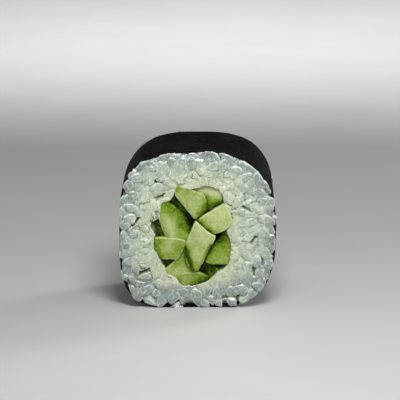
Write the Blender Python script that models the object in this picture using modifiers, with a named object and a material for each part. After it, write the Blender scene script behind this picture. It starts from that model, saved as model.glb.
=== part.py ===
"""One cut piece of a thick cucumber roll: seaweed round rice round a bundle of cucumber sticks.

Metres, +Z up. The roll lies on its side, its axis along Y, and its front cut faces -Y.
The origin is on the surface that it rests on, under the middle of the roll.
"""

import math
import random

import bmesh
import bpy
from mathutils import Euler, Matrix, Vector

MM = 0.001

# Driving dimensions of the roll
ROLL_WIDTH = 40.0 * MM
ROLL_HEIGHT = 40.8 * MM
ROLL_LENGTH = 26.0 * MM
SETTLE = 0.6 * MM  # how much of the roll's height its own weight has pressed flat

# How square the four corners are, 2 being an ellipse: upper right, upper left, lower left, lower right
FRONT_SQUARENESS = (2.5, 3.1, 3.8, 2.9)
BACK_SQUARENESS = (3.0, 2.75, 3.4, 3.0)

# Seaweed sheet: its inner end lies over the flat bottom, and its outer end laps under that
SHEET_THICKNESS = 0.3 * MM
LAP_GAP = 0.1 * MM
LAP_START = math.radians(-117)
LAP_END = math.radians(-63)
LAP_RAMP = math.radians(26)
SHEET_STEPS_ROUND = 72
SHEET_STEPS_ALONG = 2
EDGE_WAVE = 0.2 * MM

# Clearance that neighbouring pieces keep
CLEARANCE = 0.3 * MM

# Rice: a solid core, and the kernels that stand out of its two cut faces
CORE_STEPS_ROUND = 60
CORE_RECESS = 1.1 * MM
HOLE_STEPS_ROUND = 60
KERNEL_LENGTH = 6.2 * MM
KERNEL_WIDTH = 3.0 * MM
KERNEL_DEPTH = 2.6 * MM
KERNEL_SIZE_SPREAD = 0.14
KERNEL_SPACING = 2.25 * MM
KERNEL_TRIES = 5000
KERNEL_TILT = math.radians(22)
STEEP_SHARE = 0.2  # of the kernels, those that stand steeply in the face
STEEP_TILT = math.radians(60)
KERNEL_SINK = 0.3 * MM
KERNEL_PLUMPNESS = 1.2  # how blunt its ends are, 1 being an ellipsoid
KERNEL_SEGMENTS = 5
KERNEL_RINGS = 4
KERNEL_MARGIN = 0.08 * MM  # kept between a kernel's side and the core's own wall
KNIFE_KEEP = 0.3  # the share that the knife left of what would stand out of the cut

# Cucumber sticks
CUCUMBER_RADIUS = 17.0 * MM  # of the whole cucumber, so of the skin's curve
SKIN_STEPS = 3
STICK_EDGE = 0.22 * MM

# Each stick's corners (x, z) in mm, seen from the front; which side is the curved skin, counted from the
# corner where it starts; how far its ends stand out of the roll's front and back, in mm; and how its cut
# slopes, as depth along x and along z. The names give each stick's place in the bundle.
STICKS = {
    "cucumber_top": {
        "corners": ((-0.6, 22.8), (2.9, 25.9), (1.5, 29.5), (-1.4, 30.7), (-5.3, 32.1), (-5.8, 29.5)),
        "ends": (-0.2, 0.3),
        "slope": (0.05, -0.04),
    },
    "cucumber_top_right": {
        "corners": ((2.9, 25.7), (6.6, 27.8), (6.4, 30.0), (4.6, 31.4), (1.6, 32.3), (-1.4, 30.7), (1.5, 29.5)),
        "ends": (-0.7, -0.2),
        "slope": (-0.05, 0.06),
    },
    "cucumber_right": {
        "corners": ((-0.4, 22.7), (2.8, 19.7), (4.6, 19.4), (7.1, 20.4), (9.0, 22.3), (7.8, 25.7), (6.7, 27.3)),
        "skin": 0,
        "ends": (0.3, -0.3),
        "slope": (-0.08, 0.03),
    },
    "cucumber_centre": {
        "corners": ((-0.5, 22.7), (-2.2, 18.7), (-3.4, 15.8), (-2.8, 11.7), (-1.2, 9.7), (0.2, 9.8),
                    (3.2, 16.0), (4.7, 18.7), (2.8, 19.7)),
        "ends": (0.5, 0.1),
        "slope": (-0.05, -0.03),
    },
    "cucumber_upper_left": {
        "corners": ((-1.8, 21.7), (-3.1, 23.8), (-6.2, 26.5), (-7.8, 27.8), (-9.2, 28.1), (-9.7, 25.1),
                    (-9.7, 22.5), (-8.0, 18.2), (-5.4, 17.9), (-3.1, 17.5), (-2.2, 18.7)),
        "ends": (-0.4, 0.2),
        "slope": (0.07, 0.02),
    },
    "cucumber_left_skin": {
        "corners": ((-9.7, 22.5), (-11.8, 23.0), (-12.4, 21.3), (-11.3, 19.7), (-10.6, 18.3), (-8.0, 18.2)),
        "ends": (-1.3, -0.6),
        "slope": (0.1, 0.0),
    },
    "cucumber_left": {
        "corners": ((-8.0, 18.2), (-11.5, 18.2), (-9.9, 12.8), (-5.1, 12.8), (-3.4, 15.8), (-3.1, 17.5),
                    (-5.4, 17.9)),
        "skin": 1,
        "ends": (-0.1, -0.4),
        "slope": (-0.04, 0.05),
    },
    "cucumber_low_left_skin": {
        "corners": ((-5.1, 12.8), (-9.9, 12.8), (-8.9, 10.9), (-8.2, 9.6)),
        "ends": (-2.6, -1.6),
        "slope": (0.0, 0.0),
    },
    "cucumber_lower_left": {
        "corners": ((-3.4, 15.8), (-5.1, 12.8), (-8.2, 9.6), (-8.0, 8.5), (-5.4, 8.0), (-3.9, 8.8), (0.2, 9.1),
                    (-1.2, 9.7), (-2.8, 11.7)),
        "ends": (-0.7, 0.1),
        "slope": (0.06, 0.06),
    },
    "cucumber_bottom": {
        "corners": ((0.2, 9.1), (-3.9, 8.8), (-5.4, 8.0), (-4.8, 6.4), (-3.7, 5.3), (-0.8, 5.4), (1.9, 6.3),
                    (3.2, 7.3), (1.9, 8.4)),
        "ends": (-0.5, -0.2),
        "slope": (0.0, -0.08),
    },
    "cucumber_low_right_skin": {
        "corners": ((0.2, 9.8), (0.2, 9.1), (1.9, 8.4), (3.2, 7.3), (5.7, 9.3), (3.8, 11.2), (1.7, 11.9)),
        "ends": (-1.5, -1.0),
        "slope": (0.0, 0.1),
    },
    "cucumber_right_skin": {
        "corners": ((3.8, 11.2), (5.7, 9.3), (7.1, 10.3), (8.1, 11.3)),
        "ends": (-2.8, -1.8),
        "slope": (0.0, 0.0),
    },
    "cucumber_lower_right": {
        "corners": ((1.3, 12.6), (1.7, 11.9), (3.8, 11.2), (8.1, 11.3), (8.4, 17.5), (7.8, 19.6), (6.7, 19.5),
                    (5.4, 17.9), (3.2, 16.0)),
        "skin": 3,
        "ends": (-0.8, 0.2),
        "slope": (-0.06, 0.08),
    },
    "cucumber_upper_left_skin": {
        "corners": ((-0.6, 22.8), (-3.1, 26.3), (-5.9, 29.3), (-7.2, 27.7), (-6.2, 26.5), (-3.1, 23.8),
                    (-1.8, 21.7)),
        "ends": (-1.9, -0.8),
        "slope": (0.0, 0.05),
    },
}

# Colour and roughness
SEAWEED = ((0.012, 0.016, 0.010, 1.0), 0.42)
COOKED_RICE = ((0.70, 0.74, 0.66, 1.0), 0.35)
CUCUMBER_FLESH = ((0.42, 0.52, 0.17, 1.0), 0.38)
CUCUMBER_SKIN = ((0.05, 0.10, 0.012, 1.0), 0.35)


def clear_scene():
    for old in list(bpy.data.objects):
        bpy.data.objects.remove(old)


def new_collection(name):
    collection = bpy.data.collections.new(name)
    bpy.context.scene.collection.children.link(collection)
    return collection


def new_material(name, look):
    colour, roughness = look
    material = bpy.data.materials.new(name)
    material.use_nodes = True
    shader = material.node_tree.nodes["Principled BSDF"]
    shader.inputs["Base Color"].default_value = colour
    shader.inputs["Roughness"].default_value = roughness
    shader.inputs["Metallic"].default_value = 0.0
    material.diffuse_color = colour
    return material


def move_to(obj, collection):
    for holder in list(obj.users_collection):
        holder.objects.unlink(obj)
    collection.objects.link(obj)


def evaluated_mesh(obj):
    """The object's mesh with its modifiers applied, or a curve's mesh."""
    bpy.context.view_layer.update()
    graph = bpy.context.evaluated_depsgraph_get()
    return bpy.data.meshes.new_from_object(obj.evaluated_get(graph))


def direction(turn):
    return Vector((math.cos(turn), math.sin(turn)))


def smooth_step(value):
    value = min(1.0, max(0.0, value))
    return value * value * (3 - 2 * value)


def length_share(y):
    """0 at the front end of the roll, 1 at the back."""
    return min(1.0, max(0.0, y / ROLL_LENGTH + 0.5))


# The roll's outline is a rounded square: a superellipse whose power changes from corner to corner and
# from the front to the back, sunk by SETTLE and cut flat where it meets the table.

MIDDLE_HEIGHT = (ROLL_HEIGHT - SETTLE) / 2
HALF_HEIGHT = (ROLL_HEIGHT + SETTLE) / 2


def squareness(turn, share):
    total = 0.0
    for quarter, (front, back) in enumerate(zip(FRONT_SQUARENESS, BACK_SQUARENESS)):
        corner = math.radians(45 + 90 * quarter)
        pull = max(0.0, math.cos(turn - corner)) ** 2
        total += pull * (front * (1 - share) + back * share)
    return total


def outline_point(turn, share, inset):
    """(x, z) on the outline moved in by inset."""
    power = squareness(turn, share)
    way = direction(turn)
    reach = (abs(way.x) ** power + abs(way.y) ** power) ** (-1 / power)
    x = (ROLL_WIDTH / 2 - inset) * reach * way.x
    z = MIDDLE_HEIGHT + (HALF_HEIGHT - inset) * reach * way.y
    return x, max(z, inset)


def lap_step(turn):
    """How far the sheet's first layer is tucked in, so that the last layer passes under it."""
    turn = (turn - LAP_START + math.pi) % (2 * math.pi) - math.pi + LAP_START
    before = smooth_step((turn - LAP_START + LAP_RAMP) / LAP_RAMP)
    after = smooth_step((LAP_END + LAP_RAMP - turn) / LAP_RAMP)
    return (SHEET_THICKNESS + LAP_GAP) * before * after


def add_seaweed(collection, material):
    """The sheet: a flat grid bent once round the roll and on under its own start."""
    bpy.ops.mesh.primitive_grid_add(
        x_subdivisions=SHEET_STEPS_ROUND, y_subdivisions=SHEET_STEPS_ALONG, size=1.0
    )
    sheet = bpy.context.object
    sheet.name = "nori_sheet"
    all_round = 2 * math.pi + LAP_END - LAP_START
    for vertex in sheet.data.vertices:
        turn = LAP_START + (vertex.co.x + 0.5) * all_round
        share = vertex.co.y + 0.5
        inset = lap_step(turn) if turn < LAP_END + LAP_RAMP else 0.0
        x, z = outline_point(turn, share, inset)
        wave = EDGE_WAVE * math.sin(3 * turn + 1.0) * math.cos(5 * turn)
        vertex.co = (x, (share - 0.5) * (ROLL_LENGTH - 2 * wave), z)
    solidify = sheet.modifiers.new("Thickness", "SOLIDIFY")
    solidify.thickness = SHEET_THICKNESS
    solidify.offset = 1.0
    solidify.use_even_offset = True
    sheet.data.materials.append(material)
    sheet.data.shade_smooth()
    sheet.data.set_sharp_from_angle(angle=math.radians(40))
    move_to(sheet, collection)


def extruded(name, outlines, half_length, offset, collection):
    """A mesh object extruded along Y from closed outlines of (x, z) points; a second outline is a hole."""
    curve = bpy.data.curves.new(name, "CURVE")
    curve.dimensions = "2D"
    curve.fill_mode = "BOTH"
    curve.extrude = half_length
    curve.offset = offset
    for outline in outlines:
        spline = curve.splines.new("POLY")
        spline.points.add(len(outline) - 1)
        for point, (x, z) in zip(spline.points, outline):
            point.co = (x, z, 0.0, 1.0)
        spline.use_cyclic_u = True
    drawn = bpy.data.objects.new(name + "_outline", curve)
    drawn.rotation_euler = (math.pi / 2, 0.0, 0.0)
    collection.objects.link(drawn)
    mesh = evaluated_mesh(drawn)
    mesh.transform(drawn.matrix_world)
    bpy.data.objects.remove(drawn)
    bm = bmesh.new()
    bm.from_mesh(mesh)
    bmesh.ops.remove_doubles(bm, verts=bm.verts, dist=0.001 * MM)
    bmesh.ops.recalc_face_normals(bm, faces=bm.faces)
    bm.to_mesh(mesh)
    bm.free()
    solid = bpy.data.objects.new(name, mesh)
    collection.objects.link(solid)
    return solid


def stick_outline(stick):
    """The corners in metres, anticlockwise, with the skin's side bowed out on the cucumber's radius."""
    corners = [Vector(corner) * MM for corner in stick["corners"]]
    following = corners[1:] + corners[:1]
    area = sum(a.cross(b) for a, b in zip(corners, following))
    outline = []
    for index, (start, end) in enumerate(zip(corners, following)):
        outline.append(start)
        if index != stick.get("skin"):
            continue
        chord = end - start
        outward = Vector((chord.y, -chord.x)).normalized() * math.copysign(1.0, area)
        rise = CUCUMBER_RADIUS - math.sqrt(CUCUMBER_RADIUS**2 - chord.length_squared / 4)
        for step in range(1, SKIN_STEPS + 1):
            share = step / (SKIN_STEPS + 1)
            outline.append(start + chord * share + outward * rise * 4 * share * (1 - share))
    return outline if area > 0 else outline[::-1]


def add_stick(name, stick, collection, material):
    """A cucumber stick that runs through the roll, with its two slanting cut ends."""
    outline = stick_outline(stick)
    solid = extruded(name, [outline], ROLL_LENGTH / 2, -CLEARANCE / 2, collection)
    middle = sum(outline, Vector((0.0, 0.0))) / len(outline)
    front_out, back_out = (out * MM for out in stick["ends"])
    slope_x, slope_z = stick["slope"]
    for vertex in solid.data.vertices:
        lean = slope_x * (vertex.co.x - middle.x) + slope_z * (vertex.co.z - middle.y)
        if vertex.co.y < 0:
            vertex.co.y = lean - ROLL_LENGTH / 2 - front_out
        else:
            vertex.co.y = lean + ROLL_LENGTH / 2 + back_out
    bevel = solid.modifiers.new("Soft edges", "BEVEL")
    bevel.width = STICK_EDGE
    bevel.segments = 1
    bevel.limit_method = "ANGLE"
    bevel.angle_limit = math.radians(25)
    solid.data.materials.append(material)
    return outline


def ray_reach(outlines, centre, turn):
    """How far the outermost outline is from the centre at an angle."""
    way = direction(turn)
    furthest = 0.0
    for outline in outlines:
        for start, end in zip(outline, outline[1:] + outline[:1]):
            side_of_start = way.cross(start - centre)
            side_of_end = way.cross(end - centre)
            if side_of_start * side_of_end > 0 or side_of_start == side_of_end:
                continue
            crossing = start.lerp(end, side_of_start / (side_of_start - side_of_end))
            furthest = max(furthest, way.dot(crossing - centre))
    return furthest


class Hole:
    """The space that the rice leaves for the bundle of sticks."""

    def __init__(self, outlines):
        points = [point for outline in outlines for point in outline]
        self.centre = sum(points, Vector((0.0, 0.0))) / len(points)
        self.step = 2 * math.pi / HOLE_STEPS_ROUND
        self.reaches = []
        for index in range(HOLE_STEPS_ROUND):
            near = [(index + part / 4) * self.step for part in range(-3, 4)]
            furthest = max(ray_reach(outlines, self.centre, turn) for turn in near)
            self.reaches.append(furthest + CLEARANCE)

    def outline(self):
        return [self.centre + direction(i * self.step) * reach for i, reach in enumerate(self.reaches)]

    def push_out(self, spot, margin):
        """The spot, or the nearest place on its ray that is outside the hole by the margin."""
        offset = spot - self.centre
        place = (math.atan2(offset.y, offset.x) % (2 * math.pi)) / self.step
        low = int(place) % HOLE_STEPS_ROUND
        nearby = (self.reaches[low], self.reaches[(low + 1) % HOLE_STEPS_ROUND])
        reach = nearby[0] + (nearby[1] - nearby[0]) * (place - int(place)) + margin
        return spot if offset.length >= reach else self.centre + offset.normalized() * reach


def rice_inset(turn):
    return lap_step(turn) + SHEET_THICKNESS + CLEARANCE


def pull_in(spot, share, margin):
    """The spot, or the nearest place on its ray that is inside the rice's outer wall by the margin."""
    offset = spot - Vector((0.0, MIDDLE_HEIGHT))
    turn = math.atan2(offset.y, offset.x)
    inset = rice_inset(turn) + margin
    power = squareness(turn, share)
    across = abs(offset.x) / (ROLL_WIDTH / 2 - inset)
    up = abs(offset.y) / (HALF_HEIGHT - inset)
    ratio = (across**power + up**power) ** (1 / power)
    pulled = spot - offset * (1 - 1 / max(1.0, ratio))
    return Vector((pulled.x, max(pulled.y, inset)))


def add_core(hole, collection):
    """The block of rice between the seaweed and the sticks, without the kernels of its faces."""
    turns = [2 * math.pi * step / CORE_STEPS_ROUND for step in range(CORE_STEPS_ROUND)]
    halfway = [outline_point(turn, 0.5, rice_inset(turn)) for turn in turns]
    half_length = ROLL_LENGTH / 2 - CORE_RECESS
    core = extruded("rice", [halfway, hole.outline()], half_length, 0.0, collection)
    for vertex in core.data.vertices:
        for turn, (x, z) in zip(turns, halfway):
            if math.hypot(vertex.co.x - x, vertex.co.z - z) < 0.001 * MM:
                share = length_share(vertex.co.y)
                vertex.co.x, vertex.co.z = outline_point(turn, share, rice_inset(turn))
                break
    return core


def kernel_places(rng, hole, share):
    """Middles of kernels, spread evenly over one cut face."""
    places = []
    for _ in range(KERNEL_TRIES):
        spot = Vector((rng.uniform(-ROLL_WIDTH / 2, ROLL_WIDTH / 2), rng.uniform(0.0, ROLL_HEIGHT)))
        margin = KERNEL_WIDTH * 0.4
        fits = pull_in(spot, share, margin) == spot and hole.push_out(spot, margin) == spot
        if fits and all((spot - other).length > KERNEL_SPACING for other in places):
            places.append(spot)
    return places


def add_kernel(rng, spot, side, hole, collection):
    """A kernel lying in a cut face, squashed by the seaweed, the sticks and the knife."""
    bpy.ops.mesh.primitive_uv_sphere_add(segments=KERNEL_SEGMENTS, ring_count=KERNEL_RINGS, radius=0.5)
    kernel = bpy.context.object
    for vertex in kernel.data.vertices:
        if 0.1 < abs(vertex.co.z) < 0.4:
            vertex.co.x *= KERNEL_PLUMPNESS
            vertex.co.y *= KERNEL_PLUMPNESS
    size = 1 + rng.uniform(-KERNEL_SIZE_SPREAD, KERNEL_SIZE_SPREAD)
    shape = Matrix.Diagonal((KERNEL_WIDTH * size, KERNEL_DEPTH * size, KERNEL_LENGTH * size, 1.0))
    most_tilt = STEEP_TILT if rng.random() < STEEP_SHARE else KERNEL_TILT
    tilt = rng.uniform(0.4, 1.0) * most_tilt * rng.choice((-1, 1))
    heading = Euler((tilt, rng.uniform(0, 2 * math.pi), 0.0), "XYZ").to_matrix().to_4x4()
    y = side * (ROLL_LENGTH / 2 - CORE_RECESS + rng.uniform(-KERNEL_SINK, KERNEL_SINK))
    kernel.data.transform(Matrix.Translation((spot.x, y, spot.y)) @ heading @ shape)
    for vertex in kernel.data.vertices:
        proud = abs(vertex.co.y) - ROLL_LENGTH / 2
        if proud > 0:
            vertex.co.y -= side * proud * (1 - KNIFE_KEEP)
        place = pull_in(Vector((vertex.co.x, vertex.co.z)), length_share(vertex.co.y), KERNEL_MARGIN)
        vertex.co.x, vertex.co.z = hole.push_out(place, KERNEL_MARGIN)
    move_to(kernel, collection)


def keep_main_shell(mesh):
    """Drops loose scraps, and the walls of hollows that the fusing sealed."""
    bm = bmesh.new()
    bm.from_mesh(mesh)
    unseen = set(bm.verts)
    shells = []
    while unseen:
        shell, frontier = [], [unseen.pop()]
        while frontier:
            vert = frontier.pop()
            shell.append(vert)
            joined = {edge.other_vert(vert) for edge in vert.link_edges} & unseen
            unseen -= joined
            frontier += joined
        shells.append(shell)
    shells.sort(key=len)
    scraps = [vert for shell in shells[:-1] for vert in shell]
    bmesh.ops.delete(bm, geom=scraps, context="VERTS")
    bm.to_mesh(mesh)
    bm.free()


def add_rice(outlines, collection, loose, material):
    """The core with the kernels of both cut faces fused to it."""
    hole = Hole(outlines)
    rice = add_core(hole, collection)
    rng = random.Random(11)
    for side, share in ((-1, 0.0), (1, 1.0)):
        for spot in kernel_places(rng, hole, share):
            add_kernel(rng, spot, side, hole, loose)
    union = rice.modifiers.new("Kernels", "BOOLEAN")
    union.operation = "UNION"
    union.operand_type = "COLLECTION"
    union.collection = loose
    union.solver = "MANIFOLD"
    fused = evaluated_mesh(rice)
    rice.modifiers.clear()
    for kernel in list(loose.objects):
        bpy.data.objects.remove(kernel)
    keep_main_shell(fused)
    rice.data = fused
    rice.data.materials.clear()
    rice.data.materials.append(material)


def build():
    clear_scene()
    roll = new_collection("cucumber_roll")
    loose = new_collection("loose_kernels")
    add_seaweed(roll, new_material("seaweed", SEAWEED))
    flesh = new_material("cucumber_flesh", CUCUMBER_FLESH)
    skin = new_material("cucumber_skin", CUCUMBER_SKIN)
    outlines = []
    for name, stick in STICKS.items():
        material = skin if name.endswith("_skin") else flesh
        outlines.append(add_stick(name, stick, roll, material))
    add_rice(outlines, roll, loose, new_material("cooked_rice", COOKED_RICE))
    bpy.data.collections.remove(loose)


build()
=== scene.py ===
"""The looks of one cut piece of a thick cucumber roll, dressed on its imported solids.

The roll lies on its side with its axis along Y and its front cut towards -Y. Everything is in metres.
"""

import logging
import math
import random
from collections.abc import Callable
from dataclasses import dataclass, field
from enum import Enum

import bmesh
import bpy
import numpy as np
from mathutils import Matrix, Vector, kdtree, noise


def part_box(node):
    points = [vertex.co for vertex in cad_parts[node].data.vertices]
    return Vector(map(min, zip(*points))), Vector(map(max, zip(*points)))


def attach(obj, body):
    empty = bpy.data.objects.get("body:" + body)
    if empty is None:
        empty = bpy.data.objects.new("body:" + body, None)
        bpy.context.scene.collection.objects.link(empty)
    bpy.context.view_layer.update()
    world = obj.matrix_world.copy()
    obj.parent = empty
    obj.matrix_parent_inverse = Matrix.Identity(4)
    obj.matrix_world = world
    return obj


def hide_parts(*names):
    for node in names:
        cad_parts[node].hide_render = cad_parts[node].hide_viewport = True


MM = 0.001
FULL_TURN = 2 * math.pi
BODY = "root"
LOG = logging.getLogger("cucumber_roll")

Colour = tuple[float, ...]
Spot = tuple[float, float]
KernelMesh = tuple[np.ndarray, list[tuple[int, ...]]]

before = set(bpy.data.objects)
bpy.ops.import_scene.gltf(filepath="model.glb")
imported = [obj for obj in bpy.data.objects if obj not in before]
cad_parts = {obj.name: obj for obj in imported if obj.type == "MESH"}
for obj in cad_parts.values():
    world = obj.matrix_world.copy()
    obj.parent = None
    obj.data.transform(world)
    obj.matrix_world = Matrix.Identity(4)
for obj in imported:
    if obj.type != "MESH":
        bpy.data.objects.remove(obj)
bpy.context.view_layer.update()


class Side(Enum):
    """The two cut faces of the roll, by the sign of Y."""

    FRONT = -1
    BACK = 1


class KernelForm(Enum):
    """The ways that a grain of rice shows in a cut."""

    WHOLE = "whole"
    CUT = "cut"
    STUB = "stub"


# Modelling helpers


def deselect_all() -> None:
    """Leave object mode with nothing selected."""
    if bpy.context.mode != "OBJECT":
        bpy.ops.object.mode_set(mode="OBJECT")
    bpy.ops.object.select_all(action="DESELECT")


def make_active(obj: bpy.types.Object) -> None:
    """Select one object alone and make it the active one.

    Args:
        obj: The object.
    """
    deselect_all()
    obj.select_set(True)
    bpy.context.view_layer.objects.active = obj


def name_new(name: str) -> bpy.types.Object:
    """Name the object that an operator has just added, and its mesh.

    Args:
        name: The new name.

    Returns:
        The object.
    """
    obj = bpy.context.object
    obj.name = name
    obj.data.name = name
    return obj


def apply_modifier(obj: bpy.types.Object, kind: str, **settings: object) -> None:
    """Add a modifier to an object, set it and apply it.

    Args:
        obj: The object.
        kind: Blender's name of the modifier type.
        **settings: Values for the modifier's properties.
    """
    make_active(obj)
    modifier = obj.modifiers.new(kind.title(), kind)
    for key, value in settings.items():
        setattr(modifier, key, value)
    bpy.ops.object.modifier_apply(modifier=modifier.name)


def mesh_object(name: str, points: np.ndarray, faces: list[tuple[int, ...]]) -> bpy.types.Object:
    """Make an object from arrays of joined pieces.

    Args:
        name: The object's name.
        points: Vertex places, one row each.
        faces: Vertex numbers of each face.

    Returns:
        The new object, in the scene.
    """
    mesh = bpy.data.meshes.new(name)
    mesh.from_pydata(points.tolist(), [], faces)
    mesh.update()
    obj = bpy.data.objects.new(name, mesh)
    bpy.context.scene.collection.objects.link(obj)
    return obj


def vertex_array(mesh: bpy.types.Mesh) -> np.ndarray:
    """Read the mesh's vertex places.

    Args:
        mesh: The mesh.

    Returns:
        The places, one row each.
    """
    places = np.empty(len(mesh.vertices) * 3)
    mesh.vertices.foreach_get("co", places)
    return places.reshape(-1, 3)


def set_vertices(mesh: bpy.types.Mesh, places: np.ndarray) -> None:
    """Move the mesh's vertices to the places given."""
    mesh.vertices.foreach_set("co", places.ravel())
    mesh.update()


def normal_array(mesh: bpy.types.Mesh) -> np.ndarray:
    """Read the mesh's vertex normals.

    Args:
        mesh: The mesh.

    Returns:
        The normals, one row each.
    """
    normals = np.empty(len(mesh.vertices) * 3)
    mesh.vertex_normals.foreach_get("vector", normals)
    return normals.reshape(-1, 3)


def set_attribute(mesh: bpy.types.Mesh, name: str, values: np.ndarray) -> None:
    """Store one number for each vertex, which materials read by its name."""
    attribute = mesh.attributes.new(name, "FLOAT", "POINT")
    attribute.data.foreach_set("value", np.ascontiguousarray(values, dtype=np.float32))


def smooth_step(value: np.ndarray) -> np.ndarray:
    """Ease from 0 to 1 with no corner at either end."""
    value = np.clip(value, 0.0, 1.0)
    return value * value * (3 - 2 * value)


def noise_at(places: np.ndarray, scale: float, offset: float = 0.0) -> np.ndarray:
    """Smooth noise between about -1 and 1.

    Args:
        places: Where to read it, one row each.
        scale: Size of its lumps, in metres.
        offset: Moves the pattern, so that two of them differ.

    Returns:
        One value for each place.
    """
    shift = Vector((offset, offset * 0.7, offset * 1.3))
    return np.array([noise.noise(Vector(p) / scale + shift) for p in places])


def finish_piece(obj: bpy.types.Object, material: bpy.types.Material, slot: str, *nodes: str) -> None:
    """Dress a piece and let it ride on the roll.

    Args:
        obj: The finished piece.
        material: Its material.
        slot: The record's material slot; not used.
        *nodes: The solids that it stands for.
    """
    obj.data.materials.clear()
    obj.data.materials.append(material)
    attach(obj, BODY)
    if nodes:
        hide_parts(*nodes)
    LOG.info("%s: %d faces", obj.name, len(obj.data.polygons))


# The space that the pieces fill


@dataclass(frozen=True)
class RollSection:
    """The roll's rounded square outline, a superellipse that changes from the front cut to the back."""

    width: float
    height: float
    length: float = 26.0 * MM
    settle: float = 0.6 * MM
    front_squareness: tuple[float, ...] = (2.5, 3.1, 3.8, 2.9)
    back_squareness: tuple[float, ...] = (3.0, 2.75, 3.4, 3.0)
    lap_start: float = math.radians(-117)
    lap_end: float = math.radians(-63)
    lap_ramp: float = math.radians(26)
    sheet: float = 0.3 * MM
    lap_gap: float = 0.1 * MM

    @property
    def middle(self) -> float:
        """Height of the outline's middle."""
        return (self.height - self.settle) / 2

    @property
    def half_height(self) -> float:
        """Half the outline's height before its bottom was pressed flat."""
        return (self.height + self.settle) / 2

    def share(self, y: np.ndarray) -> np.ndarray:
        """0 at the front cut, 1 at the back."""
        return np.clip(y / self.length + 0.5, 0.0, 1.0)

    def squareness(self, turn: np.ndarray, share: np.ndarray) -> np.ndarray:
        """Find the outline's power at an angle: 2 is round, more is squarer.

        Args:
            turn: Angles in the section.
            share: 0 at the front cut, 1 at the back.

        Returns:
            The powers.
        """
        total = np.zeros(np.broadcast(turn, share).shape)
        for quarter, (front, back) in enumerate(zip(self.front_squareness, self.back_squareness)):
            pull = np.maximum(0.0, np.cos(turn - math.radians(45 + 90 * quarter))) ** 2
            total += pull * (front * (1 - share) + back * share)
        return total

    def outline(
        self, turn: np.ndarray, share: np.ndarray, inset: np.ndarray
    ) -> tuple[np.ndarray, np.ndarray]:
        """Find places on the outline.

        Args:
            turn: Angles in the section.
            share: 0 at the front cut, 1 at the back.
            inset: How far inside the outline.

        Returns:
            Their x and z.
        """
        power = self.squareness(turn, share)
        across, up = np.cos(turn), np.sin(turn)
        reach = (np.abs(across) ** power + np.abs(up) ** power) ** (-1 / power)
        x = (self.width / 2 - inset) * reach * across
        z = self.middle + (self.half_height - inset) * reach * up
        return x, np.maximum(z, inset)

    def lap_step(self, turn: np.ndarray) -> np.ndarray:
        """Find how far the sheet's first layer is tucked in over its last.

        Args:
            turn: Angles in the section.

        Returns:
            The distance at each angle.
        """
        turn = (turn - self.lap_start + math.pi) % FULL_TURN - math.pi + self.lap_start
        before = smooth_step((turn - self.lap_start + self.lap_ramp) / self.lap_ramp)
        after = smooth_step((self.lap_end + self.lap_ramp - turn) / self.lap_ramp)
        return (self.sheet + self.lap_gap) * before * after

    def excess(self, places: np.ndarray, margin: float | np.ndarray) -> np.ndarray:
        """Find how far out a place is, as a share of the reach of the seaweed's inner face less a margin.

        Args:
            places: Places to measure, one row each.
            margin: Distance kept inside the seaweed.

        Returns:
            1 on that limit, more outside it.
        """
        x, z = places[:, 0], places[:, 2] - self.middle
        turn = np.arctan2(z, x)
        inset = self.lap_step(turn) + self.sheet + margin
        power = self.squareness(turn, self.share(places[:, 1]))
        across = np.abs(x) / (self.width / 2 - inset)
        up = np.abs(z) / (self.half_height - inset)
        return (across**power + up**power) ** (1 / power)

    def pull_in(self, places: np.ndarray, margin: float | np.ndarray) -> np.ndarray:
        """Press places into the seaweed's inner face.

        Args:
            places: Places to press, one row each.
            margin: Distance kept inside the seaweed.

        Returns:
            The pressed places.
        """
        ratio = np.maximum(1.0, self.excess(places, margin))
        x, z = places[:, 0] / ratio, (places[:, 2] - self.middle) / ratio + self.middle
        floor = self.lap_step(np.arctan2(z - self.middle, x)) + self.sheet + margin
        return np.stack([x, places[:, 1], np.maximum(z, np.maximum(floor, 0.05 * MM))], axis=1)


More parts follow.
